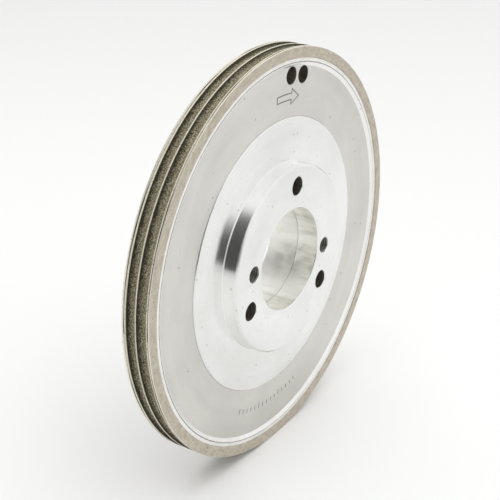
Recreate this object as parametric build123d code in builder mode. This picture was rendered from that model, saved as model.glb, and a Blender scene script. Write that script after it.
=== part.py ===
"""Metal-bond diamond grinding wheel with two edging grooves, as an assembly of separate pieces.

The wheel's axis is Y, and its hub stands out towards -Y, the outer face. The origin is on the
bore axis at the middle of the rim's width, and +Z is up. All sizes are in millimetres, and all
angles are in degrees from +X towards +Z.
"""

import os
from math import cos, radians, sin

from build123d import *

# Driving dimensions of the wheel
wheel_diameter = 200.0
rim_width = 15.0
bore_diameter = 50.0
bore_chamfer = 0.4
seam_chamfer = 0.2

# The bonded rim, from the outer face to the rear face; the rear side ring takes what is left
front_side_width = 0.9
front_crest_width = 0.8
front_groove_width = 5.5
ridge_width = 0.5
rear_groove_width = 4.9
rear_crest_width = 1.0
groove_depth = 1.6
land_chamfer = 0.3
rim_seam_chamfer = 0.2
bonded_thickness = 5.3

# The steel ring that carries the bonded rim, and the adhesive film inside it
carrier_thickness = 1.8
carrier_setback = 0.3
carrier_chamfer = 0.2
film_thickness = 0.3

# The aluminium disc, with a boss of its own at the rear
lip_width = 0.35
lip_slope_width = 1.4
front_recess = 1.5
rear_recess = 1.2
rear_boss_diameter = 100.0
rear_boss_height = 6.5

# The hub: a boss on a round plate that is let into the disc
boss_diameter = 92.0
boss_front = 6.5
boss_chamfer = 1.0
boss_root = 0.3
plate_diameter = 134.4
plate_front = 1.0
plate_thickness = 4.0
plate_clearance = 0.02
plate_chamfer = 0.4

# Hole patterns
pattern_angle = 81.5
bolt_count = 3
bolt_circle = 72.0
bolt_hole_diameter = 9.0
jack_count = 2
jack_circle = 62.5
jack_offset_angle = 90.0
jack_hole_diameter = 6.8
balance_count = 2
balance_circle = 173.4
balance_hole_diameter = 8.5
balance_hole_depth = 5.0
balance_lead_angle = 1.1
balance_pitch_angle = 6.8
hole_chamfer = 0.3

# Countersunk screws from the rear that hold the hub in the disc
screw_count = 6
screw_offset_angle = 30.0
screw_circle = 82.0
screw_diameter = 4.0
screw_length = 25.0
head_diameter = 8.2
head_rim = 0.2
head_below_face = 0.25
socket_across_flats = 2.5
socket_depth = 1.6
screw_point_chamfer = 0.3
tapping_beyond_tip = 1.0

# Dowels that locate the hub in the disc
dowel_count = 2
dowel_offset_angle = 60.0
dowel_circle = 112.0
dowel_diameter = 5.0
dowel_length = 9.0
dowel_in_plate = 3.0
dowel_chamfer = 0.4
dowel_end_room = 0.5
fastener_clearance = 0.02

# Radii, and places along the wheel's axis, that follow from the driving dimensions
wheel_radius = wheel_diameter / 2
bonded_inner_radius = wheel_radius - bonded_thickness
carrier_inner_radius = bonded_inner_radius - carrier_thickness
disc_radius = carrier_inner_radius - film_thickness
bore_radius = bore_diameter / 2
boss_radius = boss_diameter / 2
plate_radius = plate_diameter / 2
rear_boss_radius = rear_boss_diameter / 2
rim_rear = rim_width / 2
rim_front = -rim_rear
front_seam = rim_front + front_side_width
front_groove_start = front_seam + front_crest_width
ridge_front = front_groove_start + front_groove_width
ridge_middle = ridge_front + ridge_width / 2
ridge_rear = ridge_front + ridge_width
rear_groove_end = ridge_rear + rear_groove_width
rear_seam = rear_groove_end + rear_crest_width
carrier_front = rim_front + carrier_setback
carrier_rear = rim_rear - carrier_setback
disc_face = rim_front + front_recess
disc_back = rim_rear - rear_recess
boss_face = rim_front - boss_front
rear_face = rim_rear + rear_boss_height
plate_face = rim_front + plate_front
seat = plate_face + plate_thickness
head_top = rear_face - head_below_face
screw_tip = head_top - screw_length


def outward_plane(y):
    """The plane across the axis at y whose normal points to -Y, out of the wheel's outer face."""
    return Plane(origin=(0, y, 0), x_dir=(1, 0, 0), z_dir=(0, -1, 0))


def rearward_plane(y, radius=0.0, angle=0.0):
    """The plane across the axis at y whose normal points to +Y, centred at a radius and an angle."""
    centre = (radius * cos(radians(angle)), y, radius * sin(radians(angle)))
    return Plane(origin=centre, x_dir=(1, 0, 0), z_dir=(0, 1, 0))


def profile_plane(radius=0.0, angle=0.0):
    """The plane of a turned piece's half section: its x is the radius and its y runs along +Y."""
    centre = (radius * cos(radians(angle)), 0, radius * sin(radians(angle)))
    return Plane(origin=centre, x_dir=(1, 0, 0), z_dir=(0, 0, 1))


def turning_axis(radius, angle):
    """The line parallel to the wheel's axis at a radius and an angle."""
    return Axis((radius * cos(radians(angle)), 0, radius * sin(radians(angle))), (0, 1, 0))


os.makedirs("parts", exist_ok=True)

first_screw = pattern_angle + screw_offset_angle
first_dowel = pattern_angle + dowel_offset_angle
screw_angles = [first_screw + 360 / screw_count * step for step in range(screw_count)]
dowel_angles = [first_dowel + 360 / dowel_count * step for step in range(dowel_count)]


# Hub: the boss and the plate are turned from one piece
with BuildPart() as hub_flange:
    with BuildSketch(profile_plane()):
        with BuildLine():
            Polyline(
                (bore_radius + bore_chamfer, boss_face),
                (boss_radius - boss_chamfer, boss_face),
                (boss_radius, boss_face + boss_chamfer),
                (boss_radius, plate_face - boss_root),
                (boss_radius + boss_root, plate_face),
                (plate_radius - plate_chamfer, plate_face),
                (plate_radius, plate_face + plate_chamfer),
                (plate_radius, seat),
                (bore_radius + seam_chamfer, seat),
                (bore_radius, seat - seam_chamfer),
                (bore_radius, boss_face + bore_chamfer),
                close=True,
            )
        make_face()
    revolve(axis=Axis.Y)
    with Locations(outward_plane(boss_face)):
        with PolarLocations(bolt_circle / 2, bolt_count, start_angle=pattern_angle):
            Hole(bolt_hole_diameter / 2)
        with PolarLocations(jack_circle / 2, jack_count, start_angle=pattern_angle + jack_offset_angle):
            Hole(jack_hole_diameter / 2)
    mouths = hub_flange.faces().sort_by(Axis.Y)[0].inner_wires().sort_by(SortBy.LENGTH)[:-1]
    chamfer(mouths.edges(), hole_chamfer)
    for angle in screw_angles:
        with BuildSketch(rearward_plane(seat, screw_circle / 2, angle)):
            Circle(screw_diameter / 2 + fastener_clearance)
        extrude(amount=screw_tip - tapping_beyond_tip - seat, mode=Mode.SUBTRACT)
    for angle in dowel_angles:
        with BuildSketch(rearward_plane(seat, dowel_circle / 2, angle)):
            Circle(dowel_diameter / 2 + fastener_clearance)
        extrude(amount=-dowel_in_plate, mode=Mode.SUBTRACT)
hub_flange.part.label = "hub_flange"
export_step(hub_flange.part, "parts/hub_flange.step")


# Disc: the aluminium body between the hub and the rim, with a seat for the hub's plate
with BuildPart() as wheel_disc:
    with BuildSketch(profile_plane()):
        with BuildLine():
            Polyline(
                (bore_radius + seam_chamfer, seat),
                (plate_radius + plate_clearance, seat),
                (plate_radius + plate_clearance, disc_face),
                (disc_radius - lip_width - lip_slope_width, disc_face),
                (disc_radius - lip_width, carrier_front),
                (disc_radius, carrier_front),
                (disc_radius, carrier_rear),
                (disc_radius - lip_width, carrier_rear),
                (disc_radius - lip_width - lip_slope_width, disc_back),
                (rear_boss_radius + boss_root, disc_back),
                (rear_boss_radius, disc_back + boss_root),
                (rear_boss_radius, rear_face - boss_chamfer),
                (rear_boss_radius - boss_chamfer, rear_face),
                (bore_radius + bore_chamfer, rear_face),
                (bore_radius, rear_face - bore_chamfer),
                (bore_radius, seat + seam_chamfer),
                close=True,
            )
        make_face()
    revolve(axis=Axis.Y)
    with Locations(outward_plane(seat)):
        with PolarLocations(bolt_circle / 2, bolt_count, start_angle=pattern_angle):
            Hole(bolt_hole_diameter / 2)
        with PolarLocations(jack_circle / 2, jack_count, start_angle=pattern_angle + jack_offset_angle):
            Hole(jack_hole_diameter / 2)
    with Locations(outward_plane(disc_face)):
        with PolarLocations(
            balance_circle / 2,
            balance_count,
            start_angle=pattern_angle + balance_lead_angle,
            angular_range=-balance_pitch_angle,
            endpoint=True,
        ):
            Hole(balance_hole_diameter / 2, depth=balance_hole_depth)
    for angle in screw_angles:
        with Locations(rearward_plane(rear_face, screw_circle / 2, angle)):
            CounterSinkHole(
                screw_diameter / 2 + fastener_clearance,
                head_diameter / 2 + head_rim + head_below_face + fastener_clearance,
                counter_sink_angle=90,
            )
    for angle in dowel_angles:
        with BuildSketch(rearward_plane(seat, dowel_circle / 2, angle)):
            Circle(dowel_diameter / 2 + fastener_clearance)
        extrude(amount=dowel_length - dowel_in_plate + dowel_end_room, mode=Mode.SUBTRACT)
wheel_disc.part.label = "wheel_disc"
export_step(wheel_disc.part, "parts/wheel_disc.step")


# Film of adhesive between the disc and the carrier ring
with BuildPart() as adhesive_film:
    with BuildSketch(outward_plane(carrier_rear)):
        Circle(carrier_inner_radius)
        Circle(disc_radius, mode=Mode.SUBTRACT)
    extrude(amount=carrier_rear - carrier_front)
adhesive_film.part.label = "adhesive_film"
export_step(adhesive_film.part, "parts/adhesive_film.step")


# Carrier ring: the steel ring that the bonded rim is sintered on
with BuildPart() as carrier_ring:
    with BuildSketch(outward_plane(carrier_rear)):
        Circle(bonded_inner_radius)
        Circle(carrier_inner_radius, mode=Mode.SUBTRACT)
    extrude(amount=carrier_rear - carrier_front)
    inner_edges = carrier_ring.edges().filter_by(GeomType.CIRCLE).sort_by(SortBy.RADIUS)[:2]
    chamfer(inner_edges, carrier_chamfer)
carrier_ring.part.label = "carrier_ring"
export_step(carrier_ring.part, "parts/carrier_ring.step")


# Side rings: plain bronze bond with no diamond, at the rim's faces
for name, seam, seam_mouth, face, face_corner in (
    ("front_side_ring", front_seam, front_seam - rim_seam_chamfer, rim_front, rim_front + land_chamfer),
    ("rear_side_ring", rear_seam, rear_seam + rim_seam_chamfer, rim_rear, rim_rear - land_chamfer),
):
    with BuildPart() as side_ring:
        with BuildSketch(profile_plane()):
            with BuildLine():
                Polyline(
                    (bonded_inner_radius, seam),
                    (wheel_radius - rim_seam_chamfer, seam),
                    (wheel_radius, seam_mouth),
                    (wheel_radius, face_corner),
                    (wheel_radius - land_chamfer, face),
                    (bonded_inner_radius, face),
                    close=True,
                )
            make_face()
        revolve(axis=Axis.Y)
    side_ring.part.label = name
    export_step(side_ring.part, f"parts/{name}.step")


# Diamond rings: each has a crest and one round groove, and they meet at the middle of the ridge
for name, seam, seam_mouth, groove_outer_end, groove_inner_end in (
    ("front_diamond_ring", front_seam, front_seam + rim_seam_chamfer, front_groove_start, ridge_front),
    ("rear_diamond_ring", rear_seam, rear_seam - rim_seam_chamfer, rear_groove_end, ridge_rear),
):
    groove_bottom = (groove_outer_end + groove_inner_end) / 2
    with BuildPart() as diamond_ring:
        with BuildSketch(profile_plane()):
            with BuildLine():
                Polyline(
                    (wheel_radius, groove_inner_end),
                    (wheel_radius, ridge_middle),
                    (bonded_inner_radius, ridge_middle),
                    (bonded_inner_radius, seam),
                    (wheel_radius - rim_seam_chamfer, seam),
                    (wheel_radius, seam_mouth),
                    (wheel_radius, groove_outer_end),
                )
                ThreePointArc(
                    (wheel_radius, groove_outer_end),
                    (wheel_radius - groove_depth, groove_bottom),
                    (wheel_radius, groove_inner_end),
                )
            make_face()
        revolve(axis=Axis.Y)
    diamond_ring.part.label = name
    export_step(diamond_ring.part, f"parts/{name}.step")


# Hub screws: hexagon socket, countersunk, their heads just under the rear face
for number, angle in enumerate(screw_angles, start=1):
    cone_end = head_top - head_rim - (head_diameter - screw_diameter) / 2
    with BuildPart() as hub_screw:
        with BuildSketch(profile_plane(screw_circle / 2, angle)):
            with BuildLine():
                Polyline(
                    (0, screw_tip),
                    (screw_diameter / 2 - screw_point_chamfer, screw_tip),
                    (screw_diameter / 2, screw_tip + screw_point_chamfer),
                    (screw_diameter / 2, cone_end),
                    (head_diameter / 2, head_top - head_rim),
                    (head_diameter / 2, head_top),
                    (0, head_top),
                    close=True,
                )
            make_face()
        revolve(axis=turning_axis(screw_circle / 2, angle))
        with BuildSketch(rearward_plane(head_top, screw_circle / 2, angle)):
            RegularPolygon(socket_across_flats / 2, 6, major_radius=False)
        extrude(amount=-socket_depth, mode=Mode.SUBTRACT)
    hub_screw.part.label = f"hub_screw_{number}"
    export_step(hub_screw.part, f"parts/hub_screw_{number}.step")


# Dowels: hardened pins, half in the hub's plate and half in the disc
for number, angle in enumerate(dowel_angles, start=1):
    with BuildPart() as dowel:
        with BuildSketch(rearward_plane(seat - dowel_in_plate, dowel_circle / 2, angle)):
            Circle(dowel_diameter / 2)
        extrude(amount=dowel_length)
        chamfer(dowel.edges().filter_by(GeomType.CIRCLE), dowel_chamfer)
    dowel.part.label = f"dowel_{number}"
    export_step(dowel.part, f"parts/dowel_{number}.step")
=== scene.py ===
"""Looks for the two-groove diamond grinding wheel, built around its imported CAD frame.

The wheel's axis is Y, its outer face looks to -Y, and it stands on its rim on a pale floor.
Lengths in this script are in millimetres until make_mesh() turns them into metres.
"""

import math

import bmesh
import bpy
import numpy as np
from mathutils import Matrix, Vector, noise


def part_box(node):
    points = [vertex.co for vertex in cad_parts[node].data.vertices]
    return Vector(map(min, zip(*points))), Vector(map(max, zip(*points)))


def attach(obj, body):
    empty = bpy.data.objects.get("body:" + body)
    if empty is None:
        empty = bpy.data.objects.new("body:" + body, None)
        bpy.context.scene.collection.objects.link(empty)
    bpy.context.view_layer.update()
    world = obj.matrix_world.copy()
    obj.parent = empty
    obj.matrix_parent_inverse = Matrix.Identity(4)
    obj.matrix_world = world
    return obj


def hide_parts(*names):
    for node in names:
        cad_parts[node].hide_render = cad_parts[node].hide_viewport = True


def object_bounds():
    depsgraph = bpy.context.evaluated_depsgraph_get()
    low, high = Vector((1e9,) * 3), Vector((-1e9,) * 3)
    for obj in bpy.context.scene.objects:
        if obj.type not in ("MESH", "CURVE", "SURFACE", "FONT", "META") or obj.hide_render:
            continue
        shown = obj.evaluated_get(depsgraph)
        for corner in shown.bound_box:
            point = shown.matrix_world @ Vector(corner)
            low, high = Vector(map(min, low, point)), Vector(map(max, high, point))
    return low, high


MM = 0.001

# Camera: its direction from the wheel, its distance, its lens and the point that it looks at
camera_azimuth = -56.11
camera_elevation = 25.66
camera_distance = 585.5
camera_lens = 90.0
camera_target = (-13.68, 0.0, 6.58)
sensor_width = 36.0

# Steps around the axis for smooth faces, the gritty rim, a plain hole and a tapped hole
turned_steps = 720
grit_steps = 2000
hole_steps = 64
thread_steps = 48

# Small roundings of the corners, and the angle between faces from which an edge stays sharp
corner_points = 4
edge_radius = 0.15
carrier_edge_radius = 0.25
film_edge_radius = 0.03
smooth_angle = 28.0
gritty_smooth_angle = 60.0

# The rough skin of the bonded rings: how deep it goes and fades, the spacing of its points, the
# steps across a diamond ring's land and groove, and the depth and size of the grain
skin_depth = 2.4
skin_fade = 0.5
skin_spacing = 0.3
land_steps = 4
groove_points = 26
side_relief, side_grain = 0.05, 0.5
groove_relief, groove_grain = 0.08, 0.4

# How far the rings' skin stays inside the rim's box, and how far a cutter reaches past the metal
skin_margin = 0.02
cutter_overlap = 1.0

# How close a face's centre has to be to a wall, a lip or a hole to be painted with it, how deep
# it has to lie to count as engraved, and how squarely along the axis a flat face looks
touching = 0.02
lip_margin = 0.05
hole_margin = 0.1
engraved_from = 0.03
flat_facing = 0.95

# Details that the frame's boxes don't hold, as on the CAD model
bore_radius = 25.0
bore_chamfer = 0.4
seam_chamfer = 0.2
boss_radius = 46.0
boss_chamfer = 1.0
boss_root = 0.45
rear_boss_radius = 50.0
recess_front = 1.5
recess_rear = 1.2
plate_recess = 1.0
seat_gap = 0.03
film_recess = 0.08
lip_width = 0.35
lip_slope = 1.4
plate_chamfer = 0.4
groove_depth = 1.6
ridge_width = 0.5
front_crest = 0.8
rear_crest = 1.0
land_chamfer = 0.3
rim_inner_chamfer = 0.15
rim_seam_chamfer = 0.2
hole_chamfer = 0.3

# Engraving: line widths and depth, the arrow's circle, widths and angles, and the row of marks
engraving_depth = 0.2
arrow_line_width = 0.5
arrow_circle = 77.0
arrow_shaft_width = 3.0
arrow_head_width = 7.2
arrow_tail, arrow_neck, arrow_tip = 90.5, 81.5, 77.0
arrow_steps = 12
mark_count = 15
mark_width = 0.4
mark_angle = 246.0
mark_step = 2.6
mark_outer = 79.4
short_mark, long_mark = 2.2, 3.0

# Holes: the radius of the circle that they lie on, their own radius, their depths and angles
pattern_angle = 81.5
bolt_circle = 36.0
bolt_radius = 4.5
jack_circle = 31.25
jack_radius = 3.4
jack_thread_radius = 3.9
jack_thread_pitch = 1.25
# One turn of the thread: its radius at shares of the pitch
jack_thread_shape = [
    (jack_radius, 0.45),
    (jack_radius, 0.55),
    (jack_thread_radius, 0.95),
    (jack_thread_radius, 1.05),
]
thread_sink = 0.2
thread_margin = jack_thread_radius - jack_radius + hole_margin
balance_circle = 86.7
balance_radius = 4.25
balance_depth = 5.0
balance_tip_radius, balance_tip_height = 0.6, 1.2
balance_angles = (82.6, 75.8)
screw_circle = 41.0
screw_hole_radius = 2.02
screw_sink_radius = 4.57
screw_angles = [pattern_angle + 30 + 60 * i for i in range(6)]
bolt_holes = [(bolt_circle, pattern_angle + 120 * i, bolt_radius) for i in range(3)]
jack_holes = [(jack_circle, pattern_angle + 90 + 180 * i, jack_radius) for i in range(2)]
balance_holes = [(balance_circle, angle, balance_radius) for angle in balance_angles]

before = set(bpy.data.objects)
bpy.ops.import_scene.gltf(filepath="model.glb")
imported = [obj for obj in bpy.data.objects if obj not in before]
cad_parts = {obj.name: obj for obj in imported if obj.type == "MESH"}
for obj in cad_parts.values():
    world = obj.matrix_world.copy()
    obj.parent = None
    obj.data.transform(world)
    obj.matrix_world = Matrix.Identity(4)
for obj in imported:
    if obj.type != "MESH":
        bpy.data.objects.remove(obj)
cad_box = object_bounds()


def span(node, axis):
    """Lowest and highest place of a CAD node along an axis, in millimetres."""
    low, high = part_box(node)
    return low[axis] / MM, high[axis] / MM


# Places along the wheel's axis and radii, read from the frame
boss_face, seat = span("hub_flange", 1)
rim_front, front_seam = span("front_side_ring", 1)
ridge_middle = span("front_diamond_ring", 1)[1]
rear_seam, rim_rear = span("rear_side_ring", 1)
carrier_front, carrier_rear = span("carrier_ring", 1)
plate_radius = span("hub_flange", 2)[1]
disc_radius = span("wheel_disc", 2)[1]
wheel_radius = span("rear_side_ring", 2)[1] - skin_margin
bonded_radius = span("carrier_ring", 2)[1]
film_radius = span("adhesive_film", 2)[1]
plate_face = rim_front + plate_recess
disc_face = rim_front + recess_front
disc_back = rim_rear - recess_rear
rear_face = span("wheel_disc", 1)[1]


# ---------------------------------------------------------------- meshes


def make_mesh(name, points, faces, sharp_angle=smooth_angle):
    """A mesh object from points in millimetres, with its sharp edges kept sharp."""
    mesh = bpy.data.meshes.new(name)
    mesh.from_pydata((np.asarray(points) * MM).tolist(), [], faces)
    bm = bmesh.new()
    bm.from_mesh(mesh)
    bmesh.ops.recalc_face_normals(bm, faces=bm.faces)
    bm.to_mesh(mesh)
    bm.free()
    mesh.shade_smooth()
    mesh.set_sharp_from_angle(angle=math.radians(sharp_angle))
    piece = bpy.data.objects.new(name, mesh)
    bpy.context.scene.collection.objects.link(piece)
    return piece


def rounded(profile, radius=edge_radius):
    """A closed half section with each corner turned into a small arc."""
    points = [np.array(p, float) for p in profile]
    result = []
    for index, corner in enumerate(points):
        before = points[index - 1] - corner
        after = points[(index + 1) % len(points)] - corner
        reach = min(radius, 0.4 * np.linalg.norm(before), 0.4 * np.linalg.norm(after))
        start = corner + before / np.linalg.norm(before) * reach
        end = corner + after / np.linalg.norm(after) * reach
        for step in range(corner_points):
            t = step / (corner_points - 1)
            result.append((1 - t) ** 2 * start + 2 * t * (1 - t) * corner + t**2 * end)
    return result


def ring_faces(rows, columns):
    """Quads of a closed profile of so many rows, turned through so many columns."""
    faces = []
    for column in range(columns):
        here = column * rows
        there = (column + 1) % columns * rows
        for row in range(rows):
            other = (row + 1) % rows
            faces.append((here + row, here + other, there + other, there + row))
    return faces


def turned_points(profile, steps, centre=(0.0, 0.0)):
    """The points of a profile of (radius, y) turned about the line parallel to Y through a centre."""
    section = np.array(profile, float)
    angles = np.arange(steps) * (2 * math.pi / steps)
    x = np.outer(np.cos(angles), section[:, 0]) + centre[0]
    z = np.outer(np.sin(angles), section[:, 0]) + centre[1]
    y = np.tile(section[:, 1], (steps, 1))
    return np.stack([x, y, z], axis=2).reshape(-1, 3)


def turned(name, profile, steps=turned_steps, centre=(0.0, 0.0)):
    """A solid of revolution from a closed half section that doesn't reach the axis."""
    return make_mesh(name, turned_points(profile, steps, centre), ring_faces(len(profile), steps))


def on_circle(radius, angle):
    """The x and z of a point on a circle about the wheel's axis."""
    return radius * math.cos(math.radians(angle)), radius * math.sin(math.radians(angle))


def plug(profile, centre, steps=hole_steps):
    """A cutter: an open profile from axis to axis, turned about a hole's own axis."""
    points = [(centre[0], profile[0][1], centre[1])]
    points += [tuple(p) for p in turned_points(profile, steps, centre)]
    points.append((centre[0], profile[-1][1], centre[1]))
    rows = len(profile)
    faces = []
    for column in range(steps):
        here = 1 + column * rows
        there = 1 + (column + 1) % steps * rows
        faces.append((0, here, there))
        for row in range(rows - 1):
            faces.append((here + row, here + row + 1, there + row + 1, there + row))
        faces.append((here + rows - 1, len(points) - 1, there + rows - 1))
    return points, faces


def prism(outline, low, high):
    """A cutter: a closed outline of (x, z) points between two places along Y."""
    count = len(outline)
    points = [(x, low, z) for x, z in outline] + [(x, high, z) for x, z in outline]
    faces = [tuple(range(count)), tuple(range(2 * count - 1, count - 1, -1))]
    for i in range(count):
        j = (i + 1) % count
        faces.append((i, count + i, count + j, j))
    return points, faces


def cut(piece, cutters):
    """Takes the cutters, a list of (points, faces), away from a piece."""
    points, faces = [], []
    for cutter_points, cutter_faces in cutters:
        start = len(points)
        points += list(cutter_points)
        faces += [tuple(start + i for i in face) for face in cutter_faces]
    tool = make_mesh(piece.name + "_tool", points, faces)
    modifier = piece.modifiers.new("holes", "BOOLEAN")
    modifier.operation = "DIFFERENCE"
    modifier.solver = "EXACT"
    modifier.object = tool
    graph = bpy.context.evaluated_depsgraph_get()
    result = bpy.data.meshes.new_from_object(piece.evaluated_get(graph))
    piece.modifiers.clear()
    piece.data = result
    bpy.data.objects.remove(tool)
    result.shade_smooth()
    result.set_sharp_from_angle(angle=math.radians(smooth_angle))
    return piece


# ---------------------------------------------------------------- node helpers


class Nodes:
    """A new material's node tree, with short calls for the nodes that this scene uses."""

    def __init__(self, name):
        self.material = bpy.data.materials.new(name)
        self.material.use_nodes = True
        self.tree = self.material.node_tree
        self.shader = self.tree.nodes["Principled BSDF"]
        self.place = self.add("ShaderNodeTexCoord").outputs["Object"]

    def add(self, kind, **settings):
        """A new node of a kind, with its settings."""
        node = self.tree.nodes.new(kind)
        for key, value in settings.items():
            setattr(node, key, value)
        return node

    def link(self, source, target):
        """Joins an output to an input."""
        self.tree.links.new(source, target)

    def math(self, operation, first, second=None):
        """A sum or other operation on one or two numbers or outputs."""
        node = self.add("ShaderNodeMath", operation=operation)
        for socket, value in zip(node.inputs, (first, second)):
            if isinstance(value, (int, float)):
                socket.default_value = value
            elif value is not None:
                self.link(value, socket)
        return node.outputs[0]

    def axes(self):
        """The x, y and z of the place on the object, in metres."""
        parts = self.add("ShaderNodeSeparateXYZ")
        self.link(self.place, parts.inputs[0])
        return parts.outputs

    def facing(self):
        """How far the surface faces the wheel's rear, from -1 for the outer face to 1."""
        parts = self.add("ShaderNodeSeparateXYZ")
        self.link(self.place.node.outputs["Normal"], parts.inputs[0])
        return parts.outputs["Y"]

    def radius(self):
        """Distance from the wheel's axis, in metres."""
        x, _, z = self.axes()
        squares = self.math("ADD", self.math("POWER", x, 2.0), self.math("POWER", z, 2.0))
        return self.math("SQRT", squares)

    def polar(self, radial_scale, angular_scale, depth_scale):
        """Coordinates that run along the radius, around the axis and along the axis, for lathe marks."""
        x, y, z = self.axes()
        radius = self.radius()
        angle = self.math("ARCTAN2", z, x)
        join = self.add("ShaderNodeCombineXYZ")
        self.link(self.math("MULTIPLY", radius, radial_scale), join.inputs[0])
        self.link(self.math("MULTIPLY", angle, angular_scale), join.inputs[1])
        self.link(self.math("MULTIPLY", y, depth_scale), join.inputs[2])
        return join.outputs[0]

    def noise(self, vector, scale, detail=3.0, roughness=0.5, distortion=0.0):
        """Cloudy noise from 0 to 1 at the given coordinates."""
        node = self.add("ShaderNodeTexNoise")
        self.link(vector, node.inputs["Vector"])
        node.inputs["Scale"].default_value = scale
        node.inputs["Detail"].default_value = detail
        node.inputs["Roughness"].default_value = roughness
        node.inputs["Distortion"].default_value = distortion
        return node.outputs["Fac"]

    def cells(self, vector, scale):
        """Distance to the nearest of many scattered points."""
        node = self.add("ShaderNodeTexVoronoi")
        self.link(vector, node.inputs["Vector"])
        node.inputs["Scale"].default_value = scale
        return node.outputs["Distance"]

    def ramp(self, value, *stops):
        """Colours or greys along a value, as (place, colour) pairs."""
        node = self.add("ShaderNodeValToRGB")
        self.link(value, node.inputs["Fac"])
        elements = node.color_ramp.elements
        while len(elements) < len(stops):
            elements.new(0.5)
        for element, (place, colour) in zip(elements, stops):
            element.position = place
            element.color = (*colour, 1.0) if isinstance(colour, tuple) else (colour, colour, colour, 1.0)
        return node.outputs["Color"]

    def spread(self, value, low, high, from_low=0.3, from_high=0.7):
        """A value carried from one range to another, and held at its ends."""
        node = self.add("ShaderNodeMapRange")
        self.link(value, node.inputs["Value"])
        node.inputs["From Min"].default_value = from_low
        node.inputs["From Max"].default_value = from_high
        node.inputs["To Min"].default_value = low
        node.inputs["To Max"].default_value = high
        return node.outputs["Result"]

    def mix(self, factor, first, second):
        """One colour laid over another, as far as the factor says."""
        node = self.add("ShaderNodeMix", data_type="RGBA")
        colours = [socket for socket in node.inputs if socket.type == "RGBA"]
        self.link(factor, node.inputs[0])
        for socket, value in zip(colours, (first, second)):
            if isinstance(value, tuple):
                socket.default_value = (*value, 1.0)
            else:
                self.link(value, socket)
        return [socket for socket in node.outputs if socket.type == "RGBA"][0]

    def bump(self, height, strength, distance, normal=None):
        """Small relief from a height, over an earlier relief if there is one."""
        node = self.add("ShaderNodeBump")
        self.link(height, node.inputs["Height"])
        node.inputs["Strength"].default_value = strength
        node.inputs["Distance"].default_value = distance
        if normal is not None:
            self.link(normal, node.inputs["Normal"])
        return node.outputs["Normal"]

    def set(self, **values):
        """The finished material, its shader's sockets set by name with _ for a space."""
        for key, value in values.items():
            socket = self.shader.inputs[key.replace("_", " ")]
            if isinstance(value, bpy.types.NodeSocket):
                self.link(value, socket)
            else:
                socket.default_value = value
        return self.material


def lathe_metal(name, dark, light, roughness, anisotropy, ring_pitch, ring_strength, scuff_share):
    """Turned metal: fine rings around the axis, soft bands of tone, and a few faint scuffs."""
    n = Nodes(name)
    rings = n.noise(n.polar(1.0, 0.0012, 1.0), 1.0 / (ring_pitch * MM), detail=2.0, roughness=0.7)
    bands = n.noise(n.polar(1.0, 0.010, 1.0), 110.0, detail=3.0, roughness=0.5)
    clouds = n.noise(n.place, 26.0, detail=4.0, roughness=0.55, distortion=0.3)
    scuffs = n.noise(n.polar(1.0, 0.016, 1.0), 700.0, detail=6.0, roughness=0.75, distortion=0.3)
    nicks = n.cells(n.place, 130.0)
    tone = n.math("ADD", n.math("MULTIPLY", bands, 0.4), n.math("MULTIPLY", clouds, 0.6))
    colour = n.ramp(tone, (0.36, dark), (0.62, light))
    worn = n.ramp(scuffs, (0.57, 0.0), (0.70, 1.0))
    nicked = n.ramp(nicks, (0.055, 1.0), (0.085, 0.0))
    scuffed = tuple(0.6 * c for c in dark)
    colour = n.mix(n.math("MULTIPLY", worn, scuff_share), colour, scuffed)
    colour = n.mix(n.math("MULTIPLY", nicked, 0.75), colour, scuffed)
    rough = n.math("ADD", n.spread(tone, roughness - 0.02, roughness + 0.04), n.math("MULTIPLY", worn, 0.1))
    rough = n.math("ADD", rough, n.spread(rings, -0.02, 0.02))
    tangent = n.add("ShaderNodeTangent", direction_type="RADIAL", axis="Y")
    normal = n.bump(rings, ring_strength, 0.02 * MM)
    normal = n.bump(worn, 0.12, 0.03 * MM, normal)
    return n.set(
        Base_Color=colour,
        Metallic=1.0,
        Roughness=rough,
        Anisotropic=anisotropy,
        Tangent=tangent.outputs[0],
        Normal=normal,
    )


def stained_metal(name, dark, light, roughness, grain_scale):
    """Ground, bored or drilled metal: fine grain and slight stains over an even tone."""
    n = Nodes(name)
    grain = n.noise(n.place, grain_scale, detail=3.0, roughness=0.7)
    stain = n.noise(n.place, 90.0, detail=5.0, roughness=0.6, distortion=0.5)
    streak = n.noise(n.polar(0.0, 0.02, 1.0), 420.0, detail=4.0, roughness=0.6)
    tone = n.math("ADD", n.math("MULTIPLY", stain, 0.7), n.math("MULTIPLY", streak, 0.3))
    rough = n.math("ADD", n.spread(stain, roughness - 0.04, roughness + 0.08), n.spread(grain, -0.03, 0.03))
    return n.set(
        Base_Color=n.ramp(tone, (0.38, dark), (0.62, light)),
        Metallic=1.0,
        Roughness=rough,
        Normal=n.bump(grain, 0.2, 0.02 * MM),
    )


def bored_metal(name):
    """The wall of the bore: stains and long streaks along the axis, and painted shade that darkens it
    towards the boss.
    """
    n = Nodes(name)
    streak = n.noise(n.polar(0.0, 0.02, 0.12), 260.0, detail=3.0, roughness=0.5)
    stain = n.noise(n.place, 110.0, detail=4.0, roughness=0.55, distortion=0.8)
    grain = n.noise(n.place, 1800.0, detail=3.0, roughness=0.7)
    tone = n.math("ADD", n.math("MULTIPLY", streak, 0.6), n.math("MULTIPLY", stain, 0.4))
    # Painted light and shade along the axis: darker at the boss face, lighter towards the rear opening
    tone = n.math("ADD", tone, n.spread(n.axes()[1], -0.08, 0.12, boss_face * MM, rear_face * MM))
    dull, pale, bright = (0.60, 0.59, 0.52), (0.84, 0.83, 0.77), (0.95, 0.945, 0.90)
    return n.set(
        Base_Color=n.ramp(tone, (0.34, dull), (0.46, pale), (0.62, bright)),
        Metallic=0.5,
        Roughness=n.spread(stain, 0.3, 0.5),
        Normal=n.bump(grain, 0.2, 0.02 * MM),
    )


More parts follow.
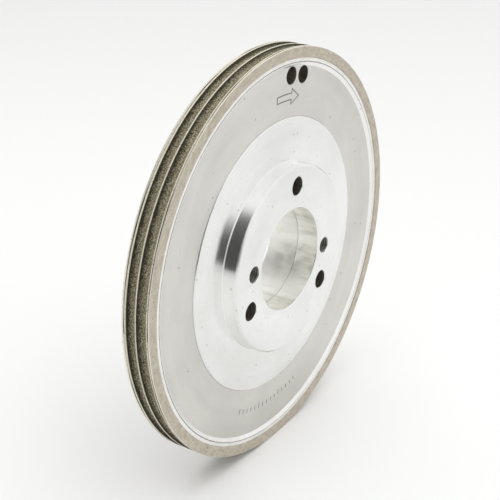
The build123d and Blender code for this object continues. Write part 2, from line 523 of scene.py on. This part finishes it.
def seam_dirt(n):
    """How much residue lies in the fine seams between the rim's rings, from 0 to 1."""
    y = n.axes()[1]
    patches = n.noise(n.polar(0.0, 0.02, 0.0), 120.0, detail=3.0, roughness=0.6)
    dirt = None
    for seam in (front_seam, rear_seam):
        away = n.math("ABSOLUTE", n.math("SUBTRACT", y, seam * MM))
        line = n.spread(away, 1.0, 0.0, 0.20 * MM, 0.34 * MM)
        dirt = line if dirt is None else n.math("MAXIMUM", dirt, line)
    return n.math("MULTIPLY", dirt, n.spread(patches, 0.1, 1.0, 0.42, 0.58))


def bronze_bond(name):
    """Sintered bronze with no diamond: warm beige metal with fine pores and a mottled tone."""
    n = Nodes(name)
    mottle = n.noise(n.polar(1.0, 0.05, 1.0), 420.0, detail=6.0, roughness=0.7)
    patches = n.noise(n.place, 60.0, detail=4.0, roughness=0.6)
    pores = n.noise(n.place, 1100.0, detail=3.0, roughness=0.65)
    dark, middle, light = (0.40, 0.36, 0.29), (0.52, 0.475, 0.39), (0.64, 0.595, 0.51)
    colour = n.ramp(mottle, (0.34, dark), (0.5, middle), (0.68, light))
    colour = n.mix(n.spread(patches, 0.0, 0.4), colour, (0.56, 0.50, 0.42))
    worn = n.spread(n.radius(), 0.0, 0.85, (wheel_radius - 0.3) * MM, (wheel_radius - 0.06) * MM)
    colour = n.mix(worn, colour, (0.90, 0.86, 0.75))
    pitted = n.ramp(pores, (0.62, 0.0), (0.68, 1.0))
    colour = n.mix(n.math("MULTIPLY", pitted, 0.7), colour, (0.10, 0.085, 0.06))
    colour = n.mix(seam_dirt(n), colour, (0.03, 0.026, 0.016))
    height = n.math("SUBTRACT", mottle, n.math("MULTIPLY", pitted, 0.5))
    return n.set(
        Base_Color=colour,
        Metallic=0.7,
        Roughness=n.spread(mottle, 0.42, 0.58),
        Normal=n.bump(height, 0.4, 0.05 * MM),
    )


def diamond_bond(name):
    """Bronze bond full of diamond: olive grey and speckled, lighter on its crests, and with
    painted shade darkening the walls that face the outer side."""
    n = Nodes(name)
    base = n.noise(n.place, 1500.0, detail=5.0, roughness=0.8)
    grains = n.cells(n.place, 1500.0)
    pits = n.noise(n.place, 1200.0, detail=3.0, roughness=0.65)
    coarse = n.noise(n.place, 180.0, detail=4.0, roughness=0.65)
    colour = n.ramp(
        base, (0.42, (0.07, 0.06, 0.03)), (0.5, (0.27, 0.24, 0.15)), (0.59, (0.66, 0.61, 0.45))
    )
    colour = n.mix(n.spread(coarse, 0.0, 0.4), colour, (0.24, 0.215, 0.15))
    bright = n.ramp(grains, (0.10, 1.0), (0.2, 0.0))
    colour = n.mix(n.math("MULTIPLY", bright, 0.5), colour, (0.70, 0.68, 0.58))
    # Painted shade: the groove walls that face the outer side, turned away from the light, are darkened
    # almost to black
    wall = n.math("ADD", n.facing(), n.spread(coarse, -0.12, 0.12))
    wall = n.math("ADD", wall, n.spread(base, -0.12, 0.12, 0.4, 0.6))
    facing_shade = n.spread(wall, 0.0, 0.93, -0.06, -0.70)
    colour = n.mix(facing_shade, colour, (0.022, 0.019, 0.010))
    pitted = n.ramp(pits, (0.61, 0.0), (0.67, 1.0))
    crest = n.spread(n.radius(), 0.0, 0.85, (wheel_radius - 0.24) * MM, (wheel_radius - 0.07) * MM)
    colour = n.mix(crest, colour, (0.86, 0.82, 0.69))
    colour = n.mix(n.math("MULTIPLY", pitted, 0.85), colour, (0.018, 0.016, 0.010))
    colour = n.mix(seam_dirt(n), colour, (0.018, 0.016, 0.010))
    height = n.math("SUBTRACT", n.math("ADD", base, n.math("MULTIPLY", bright, 0.5)), pitted)
    return n.set(
        Base_Color=colour,
        Metallic=0.15,
        Specular_IOR_Level=0.12,
        Roughness=n.spread(base, 0.55, 0.8),
        Normal=n.bump(height, 0.7, 0.06 * MM),
    )


def cured_film(name):
    """Cured adhesive seen as a thin line."""
    n = Nodes(name)
    blotch = n.noise(n.place, 500.0, detail=4.0)
    return n.set(
        Base_Color=n.ramp(blotch, (0.3, (0.14, 0.135, 0.12)), (0.7, (0.32, 0.31, 0.28))),
        Roughness=n.spread(blotch, 0.5, 0.7),
        Normal=n.bump(blotch, 0.3, 0.05 * MM),
    )


def black_steel(name):
    """Blackened socket screws with a little wear."""
    n = Nodes(name)
    wear = n.noise(n.place, 900.0, detail=5.0, roughness=0.7)
    return n.set(
        Base_Color=n.ramp(wear, (0.45, (0.035, 0.035, 0.038)), (0.72, (0.22, 0.22, 0.22))),
        Metallic=0.9,
        Roughness=n.spread(wear, 0.32, 0.5),
        Normal=n.bump(wear, 0.25, 0.03 * MM),
    )


hub_metal = lathe_metal(
    "hub_aluminium",
    dark=(0.76, 0.76, 0.745),
    light=(0.86, 0.865, 0.855),
    roughness=0.2,
    anisotropy=0.3,
    ring_pitch=0.28,
    ring_strength=0.15,
    scuff_share=0.3,
)
wall_metal = lathe_metal(
    "boss_wall",
    dark=(0.92, 0.92, 0.91),
    light=(0.98, 0.98, 0.97),
    roughness=0.05,
    anisotropy=0.0,
    ring_pitch=0.3,
    ring_strength=0.06,
    scuff_share=0.15,
)
disc_metal = lathe_metal(
    "disc_aluminium",
    dark=(0.60, 0.59, 0.555),
    light=(0.69, 0.68, 0.64),
    roughness=0.34,
    anisotropy=0.4,
    ring_pitch=0.22,
    ring_strength=0.2,
    scuff_share=0.12,
)
# A brighter copy of the disc's aluminium for its lips: a painted highlight that makes the lip and its slope
# a bright band
lip_highlight_metal = lathe_metal(
    "lip_aluminium_highlight",
    dark=(0.78, 0.775, 0.755),
    light=(0.88, 0.875, 0.855),
    roughness=0.2,
    anisotropy=0.2,
    ring_pitch=0.22,
    ring_strength=0.1,
    scuff_share=0.1,
)
bore_metal = bored_metal("bored_aluminium")
# Dark copies of the aluminium for the walls of the plain and tapped holes: painted shade inside the holes
hole_shade_metal = stained_metal("drilled_aluminium_painted_shade", (0.24, 0.22, 0.19), (0.42, 0.40, 0.35), 0.5, 2200.0)
thread_shade_metal = stained_metal("tapped_aluminium_painted_shade", (0.16, 0.16, 0.145), (0.3, 0.3, 0.27), 0.45, 2200.0)
engraved_metal = stained_metal("engraved_aluminium", (0.22, 0.21, 0.19), (0.36, 0.35, 0.32), 0.5, 2200.0)
carrier_metal = stained_metal("carrier_steel", (0.80, 0.785, 0.75), (0.90, 0.89, 0.87), 0.26, 2600.0)
dowel_metal = stained_metal("dowel_steel", (0.45, 0.45, 0.46), (0.62, 0.62, 0.63), 0.2, 2600.0)
side_bond = bronze_bond("side_bronze")
groove_bond = diamond_bond("groove_diamond")
film = cured_film("adhesive")
screw_metal = black_steel("screw_black")


def paint(piece, material, chosen):
    """Gives a further material to the faces whose centre, in millimetres, is chosen."""
    piece.data.materials.append(material)
    index = len(piece.data.materials) - 1
    for face in piece.data.polygons:
        if chosen(face.center / MM, face.normal):
            face.material_index = index


def near_holes(holes, margin):
    """A test for faces in any of the holes, given as (circle radius, angle, hole radius)."""
    centres = [(*on_circle(radius, angle), hole + margin) for radius, angle, hole in holes]

    def chosen(centre, normal):
        """Whether a face is on the wall of one of the holes."""
        inside = any(math.hypot(centre.x - x, centre.z - z) < reach for x, z, reach in centres)
        return inside and abs(normal.y) < flat_facing

    return chosen


def finish_piece(piece, material, slot, *nodes):
    """Gives a piece its material, puts it on the wheel's body and lets it stand for CAD nodes."""
    piece.data.materials.clear()
    piece.data.materials.append(material)
    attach(piece, "root")
    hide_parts(*nodes)


# ---------------------------------------------------------------- pieces


def bolt_plug(low, high, centre):
    """A cutter for a bolt hole with a chamfered mouth."""
    flare = bolt_radius + hole_chamfer + cutter_overlap
    profile = [
        (flare, low - cutter_overlap),
        (bolt_radius, low + hole_chamfer),
        (bolt_radius, high),
    ]
    return plug(profile, centre)


def thread_plug(low, high, centre):
    """A cutter for a tapped hole: rings of thread behind a short countersunk mouth."""
    mouth = low + thread_sink
    flare = jack_thread_radius + thread_sink + cutter_overlap
    profile = [(flare, low - cutter_overlap), (jack_thread_radius, mouth)]
    turns = math.ceil((high - mouth) / jack_thread_pitch) - 1
    for turn in range(turns):
        for radius, share in jack_thread_shape:
            profile.append((radius, mouth + (turn + share) * jack_thread_pitch))
    profile.append((jack_radius, high))
    return plug(profile, centre, thread_steps)


def on_boss_wall(centre, normal):
    """Whether a face is on the round wall of the boss."""
    return abs(math.hypot(centre.x, centre.z) - boss_radius) < touching and centre.y < plate_face


def in_bore(centre, normal):
    """Whether a face is on the wall of the bore."""
    return math.hypot(centre.x, centre.z) < bore_radius + touching


def make_hub():
    """Hub: boss and plate, with five holes through it."""
    profile = [
        (bore_radius + bore_chamfer, boss_face),
        (boss_radius - boss_chamfer, boss_face),
        (boss_radius, boss_face + boss_chamfer),
        (boss_radius, plate_face - boss_root),
        (boss_radius + boss_root, plate_face),
        (plate_radius - plate_chamfer, plate_face),
        (plate_radius, plate_face + plate_chamfer),
        (plate_radius, seat),
        (bore_radius + seam_chamfer, seat),
        (bore_radius, seat - seam_chamfer),
        (bore_radius, boss_face + bore_chamfer),
    ]
    hub = turned("hub", rounded(profile))
    beyond = seat + cutter_overlap
    cutters = []
    for circle, angle, _ in bolt_holes:
        cutters.append(bolt_plug(boss_face, beyond, on_circle(circle, angle)))
    for circle, angle, _ in jack_holes:
        cutters.append(thread_plug(boss_face, beyond, on_circle(circle, angle)))
    cut(hub, cutters)
    finish_piece(hub, hub_metal, "turned_aluminium", "hub_flange")
    paint(hub, wall_metal, on_boss_wall)
    paint(hub, bore_metal, in_bore)
    # Painted shade on the walls of the bolt and jack holes
    paint(hub, hole_shade_metal, near_holes(bolt_holes, hole_margin))
    paint(hub, thread_shade_metal, near_holes(jack_holes, thread_margin))


def arrow_outline():
    """The outline of a curved arrow that shows which way the wheel turns."""
    shaft = [arrow_tail + (arrow_neck - arrow_tail) * i / arrow_steps for i in range(arrow_steps + 1)]
    half_shaft, half_head = arrow_shaft_width / 2, arrow_head_width / 2
    outer = [on_circle(arrow_circle + half_shaft, angle) for angle in shaft]
    head = [
        on_circle(arrow_circle + half_head, arrow_neck),
        on_circle(arrow_circle, arrow_tip),
        on_circle(arrow_circle - half_head, arrow_neck),
    ]
    inner = [on_circle(arrow_circle - half_shaft, angle) for angle in reversed(shaft)]
    return [*outer, *head, *inner]


def stroke(outline, width, low, high):
    """A cutter along a closed outline: a narrow band with square sides."""
    count = len(outline)
    path = np.array(outline)
    before = path - np.roll(path, 1, axis=0)
    after = np.roll(path, -1, axis=0) - path
    before /= np.linalg.norm(before, axis=1)[:, None]
    after /= np.linalg.norm(after, axis=1)[:, None]
    side = np.stack([-(before + after)[:, 1], (before + after)[:, 0]], axis=1)
    side /= np.linalg.norm(side, axis=1)[:, None]
    cosine = np.clip(np.sum(side * np.stack([-before[:, 1], before[:, 0]], axis=1), axis=1), 0.5, 1.0)
    offset = side * (width / 2 / cosine)[:, None]
    left, right = path + offset, path - offset
    points = []
    for y in (low, high):
        points += [(x, y, z) for x, z in left]
        points += [(x, y, z) for x, z in right]
    faces = []
    for i in range(count):
        j = (i + 1) % count
        faces.append((i, j, count + j, count + i))
        faces.append((2 * count + i, 3 * count + i, 3 * count + j, 2 * count + j))
        faces.append((i, 2 * count + i, 2 * count + j, j))
        faces.append((count + i, count + j, 3 * count + j, 3 * count + i))
    return points, faces


def index_marks(low, high):
    """Cutters for a row of short engraved marks near the lowest part of the disc."""
    cutters = []
    for i in range(mark_count):
        angle = mark_angle + mark_step * i
        length = short_mark if i % 5 else long_mark
        inner = np.array(on_circle(mark_outer - length, angle))
        outer = np.array(on_circle(mark_outer, angle))
        along = (outer - inner) / length
        side = np.array([-along[1], along[0]]) * mark_width / 2
        corners = [inner - side, inner + side, outer + side, outer - side]
        cutters.append(prism([tuple(corner) for corner in corners], low, high))
    return cutters


def in_engraving(centre, normal):
    """Whether a face is inside an engraved line of the disc."""
    near_arrow_circle = abs(math.hypot(centre.x, centre.z) - arrow_circle) < arrow_head_width
    sunk = engraved_from < centre.y - disc_face < engraving_depth + touching
    return near_arrow_circle and sunk


def on_lip(centre, normal):
    """Whether a face is on the disc's lips, beyond its flat web."""
    return math.hypot(centre.x, centre.z) > disc_radius - lip_width - lip_slope - lip_margin


def make_disc():
    """Disc: web, lips, the hub's seat, the rear boss, holes, turning arrow and index marks."""
    lip_inner = disc_radius - lip_width
    profile = [
        (bore_radius + seam_chamfer, seat),
        (plate_radius + seat_gap, seat),
        (plate_radius + seat_gap, disc_face),
        (lip_inner - lip_slope, disc_face),
        (lip_inner, carrier_front),
        (disc_radius, carrier_front),
        (disc_radius, carrier_rear),
        (lip_inner, carrier_rear),
        (lip_inner - lip_slope, disc_back),
        (rear_boss_radius + boss_root, disc_back),
        (rear_boss_radius, disc_back + boss_root),
        (rear_boss_radius, rear_face - boss_chamfer),
        (rear_boss_radius - boss_chamfer, rear_face),
        (bore_radius + bore_chamfer, rear_face),
        (bore_radius, rear_face - bore_chamfer),
        (bore_radius, seat + seam_chamfer),
    ]
    disc = turned("disc", rounded(profile))
    before, beyond = seat - cutter_overlap, rear_face + cutter_overlap
    cutters = []
    for circle, angle, radius in [*bolt_holes, *jack_holes]:
        cutters.append(plug([(radius, before), (radius, beyond)], on_circle(circle, angle)))
    sink = [
        (screw_hole_radius, before),
        (screw_hole_radius, rear_face - screw_sink_radius + screw_hole_radius),
        (screw_sink_radius + cutter_overlap, beyond),
    ]
    for angle in screw_angles:
        cutters.append(plug(sink, on_circle(screw_circle, angle)))
    above, balance_floor = disc_face - cutter_overlap, disc_face + balance_depth
    blind = [
        (balance_radius, above),
        (balance_radius, balance_floor),
        (balance_tip_radius, balance_floor + balance_tip_height),
    ]
    for circle, angle, _ in balance_holes:
        cutters.append(plug(blind, on_circle(circle, angle)))
    cut(disc, cutters)
    engraved = disc_face + engraving_depth
    arrow = stroke(arrow_outline(), arrow_line_width, above, engraved)
    cut(disc, [arrow, *index_marks(above, engraved)])
    finish_piece(disc, disc_metal, "satin_aluminium", "wheel_disc")
    paint(disc, bore_metal, in_bore)
    # Painted shade on the walls of the holes
    paint(disc, hole_shade_metal, near_holes([*bolt_holes, *balance_holes], hole_margin))
    paint(disc, thread_shade_metal, near_holes(jack_holes, hole_margin))
    paint(disc, engraved_metal, in_engraving)
    # Painted highlight: the lips take the brighter copy of the aluminium
    paint(disc, lip_highlight_metal, on_lip)


def make_carrier():
    """The steel ring under the bonded rim, and the film of adhesive inside it."""
    profile = [
        (film_radius, carrier_front),
        (bonded_radius, carrier_front),
        (bonded_radius, carrier_rear),
        (film_radius, carrier_rear),
    ]
    carrier = turned("carrier", rounded(profile, carrier_edge_radius))
    finish_piece(carrier, carrier_metal, "carrier_steel", "carrier_ring")
    profile = [
        (disc_radius, carrier_front + film_recess),
        (film_radius, carrier_front + film_recess),
        (film_radius, carrier_rear - film_recess),
        (disc_radius, carrier_rear - film_recess),
    ]
    bond_line = turned("bond_line", rounded(profile, film_edge_radius))
    finish_piece(bond_line, film, "adhesive", "adhesive_film")


def along_path(path, spacing):
    """Points no further apart than a spacing along a closed path, with its corners kept."""
    result = []
    for index, point in enumerate(path):
        start = np.array(point, float)
        end = np.array(path[(index + 1) % len(path)], float)
        count = max(1, math.ceil(np.linalg.norm(end - start) / spacing))
        result += [start + (end - start) * step / count for step in range(count)]
    return result


def groove_arc(start, end, points=groove_points):
    """The round bottom of a groove between two places along the axis, as (radius, y) points."""
    width = end - start
    radius = (width**2 / 4 + groove_depth**2) / (2 * groove_depth)
    centre = wheel_radius - groove_depth + radius
    half = math.asin(abs(width) / 2 / radius)
    middle = (start + end) / 2
    sign = 1 if width > 0 else -1
    turns = [half * (2 * i / (points - 1) - 1) for i in range(points)]
    return [(centre - radius * math.cos(t), middle + sign * radius * math.sin(t)) for t in turns]


def gritty(name, profile, steps, depth, grain):
    """A turned ring whose outer skin is rough: dips and pores go in along the radius, never out."""
    section = np.array(profile, float)
    points = turned_points(profile, steps)
    weight = np.clip((section[:, 0] - (wheel_radius - skin_depth)) / skin_fade, 0.0, 1.0)
    weight = np.tile(weight, steps)
    radii = np.hypot(points[:, 0], points[:, 2])
    rough = np.zeros(len(points))
    coarse_grain = 3.1 * grain
    elsewhere = Vector((7.0, 3.0, 5.0))
    for index in np.flatnonzero(weight):
        place = Vector(points[index])
        fine = noise.noise(place / grain)
        coarse = noise.noise(place / coarse_grain + elsewhere)
        rough[index] = 0.75 * fine + 0.5 * coarse - 0.35
    change = np.minimum(depth * rough * weight, 0.0)
    scale = (radii + change) / radii
    points[:, 0] *= scale
    points[:, 2] *= scale
    return make_mesh(name, points, ring_faces(len(profile), steps), gritty_smooth_angle)


def make_side_ring(name, node, seam, face):
    """A bronze side ring, with a broken edge and slightly uneven land."""
    outward = 1 if face > seam else -1
    path = [
        (bonded_radius, seam),
        (wheel_radius - rim_seam_chamfer, seam),
        (wheel_radius, seam + outward * rim_seam_chamfer),
        (wheel_radius, face - outward * land_chamfer),
        (wheel_radius - land_chamfer, face),
        (bonded_radius + rim_inner_chamfer, face),
        (bonded_radius, face - outward * rim_inner_chamfer),
    ]
    ring = gritty(name, along_path(path, skin_spacing), grit_steps, side_relief, side_grain)
    finish_piece(ring, side_bond, "bronze_bond", node)


def make_groove_ring(name, node, seam, crest, ridge_end):
    """A diamond ring with its crest, its groove and its half of the ridge, rough all over."""
    inward = 1 if ridge_end > seam else -1
    land = crest - rim_seam_chamfer
    land_places = [rim_seam_chamfer + land * i / land_steps for i in range(land_steps)]
    path = [
        (bonded_radius, seam),
        (wheel_radius - rim_seam_chamfer, seam),
        *[(wheel_radius, seam + inward * place) for place in land_places],
        *groove_arc(seam + inward * crest, ridge_end),
        (wheel_radius, ridge_middle),
        (bonded_radius, ridge_middle),
    ]
    ring = gritty(name, path, grit_steps, groove_relief, groove_grain)
    finish_piece(ring, groove_bond, "diamond_bond", node)


make_hub()
make_disc()
make_carrier()
make_side_ring("front_side", "front_side_ring", front_seam, rim_front)
make_side_ring("rear_side", "rear_side_ring", rear_seam, rim_rear)
ridge_front, ridge_rear = ridge_middle - ridge_width / 2, ridge_middle + ridge_width / 2
make_groove_ring("front_groove", "front_diamond_ring", front_seam, front_crest, ridge_front)
make_groove_ring("rear_groove", "rear_diamond_ring", rear_seam, rear_crest, ridge_rear)

# The screws and dowels keep their CAD shapes and are given only their metals
for node_name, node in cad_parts.items():
    if node_name.startswith("hub_screw"):
        node.data.materials.clear()
        node.data.materials.append(screw_metal)
    if node_name.startswith("dowel"):
        node.data.materials.clear()
        node.data.materials.append(dowel_metal)


# ---------------------------------------------------------------- studio


def plain_material(name, colour, roughness):
    """One even colour, for the floor."""
    material = bpy.data.materials.new(name)
    material.use_nodes = True
    shader = material.node_tree.nodes["Principled BSDF"]
    shader.inputs["Base Color"].default_value = (*colour, 1.0)
    shader.inputs["Roughness"].default_value = roughness
    return material


def area_light(name, centre, facing, side, watts, mirrored=False):
    """A soft square lamp; unless it is mirrored, the metal shows no hard-edged patch of it."""
    data = bpy.data.lights.new(name, "AREA")
    data.shape = "SQUARE"
    data.size = side * MM
    data.energy = watts
    lamp = bpy.data.objects.new(name, data)
    bpy.context.scene.collection.objects.link(lamp)
    lamp.location = Vector(centre) * MM
    lamp.rotation_euler = (Vector(facing) - Vector(centre)).to_track_quat("-Z", "Y").to_euler()
    lamp.visible_glossy = mirrored


def make_floor():
    """A plain pale floor that the rim stands on."""
    low = cad_box[0][2] / MM
    reach = 6000.0
    corners = [(-reach, -reach, low), (reach, -reach, low), (reach, reach, low), (-reach, reach, low)]
    floor = make_mesh("floor", corners, [(0, 1, 2, 3)])
    floor.data.materials.append(plain_material("floor", (0.9, 0.9, 0.895), 0.8))


def world_ramp(tree, value, *stops):
    """Grey levels along a value of the studio's sky, as (place, level) pairs."""
    node = tree.nodes.new("ShaderNodeValToRGB")
    tree.links.new(value, node.inputs["Fac"])
    elements = node.color_ramp.elements
    while len(elements) < len(stops):
        elements.new(0.5)
    for element, (place, level) in zip(elements, stops):
        element.position = place
        element.color = (level, level, level, 1.0)
    return node.outputs["Color"]


def make_world():
    """A bright studio whose horizon is dim on the left."""
    world = bpy.data.worlds.new("studio")
    world.use_nodes = True
    tree = world.node_tree
    background = tree.nodes["Background"]
    direction = tree.nodes.new("ShaderNodeTexCoord").outputs["Generated"]
    parts = tree.nodes.new("ShaderNodeSeparateXYZ")
    tree.links.new(direction, parts.inputs[0])
    rising = world_ramp(tree, parts.outputs["Z"], (0.50, 0.08), (0.76, 0.14), (0.85, 0.28), (0.95, 1.0))
    towards = tree.nodes.new("ShaderNodeVectorMath")
    towards.operation = "DOT_PRODUCT"
    towards.inputs[1].default_value = (-0.97, 0.25, 0.0)
    tree.links.new(direction, towards.inputs[0])
    aside = world_ramp(tree, towards.outputs["Value"], (0.08, 0.0), (0.38, 1.0))
    blend = tree.nodes.new("ShaderNodeMix")
    blend.data_type = "RGBA"
    colours = [socket for socket in blend.inputs if socket.type == "RGBA"]
    colours[0].default_value = (1.0, 1.0, 1.0, 1.0)
    tree.links.new(aside, blend.inputs[0])
    tree.links.new(rising, colours[1])
    blended = [socket for socket in blend.outputs if socket.type == "RGBA"][0]
    tree.links.new(blended, background.inputs["Color"])
    background.inputs["Strength"].default_value = 1.07
    bpy.context.scene.world = world


def make_camera():
    """The camera of the photo's view."""
    azimuth, elevation = math.radians(camera_azimuth), math.radians(camera_elevation)
    away = Vector(
        (
            math.sin(azimuth) * math.cos(elevation),
            -math.cos(azimuth) * math.cos(elevation),
            math.sin(elevation),
        )
    )
    data = bpy.data.cameras.new("camera")
    data.lens = camera_lens
    data.sensor_width = sensor_width
    camera = bpy.data.objects.new("camera", data)
    bpy.context.scene.collection.objects.link(camera)
    camera.location = (Vector(camera_target) + away * camera_distance) * MM
    camera.rotation_euler = (-away).to_track_quat("-Z", "Y").to_euler()
    bpy.context.scene.camera = camera


make_floor()
make_world()
make_camera()
area_light("left_top", centre=(-350, -200, 1200), facing=(0, 0, 0), side=1300, watts=6.5)
area_light("front_right", centre=(500, -500, 1000), facing=(150, -100, -100), side=1300, watts=2.0)
area_light("rear_left", centre=(-500, 800, 60), facing=(0, 10, 0), side=500, watts=2.2, mirrored=True)

bpy.context.scene.view_settings.view_transform = "Standard"
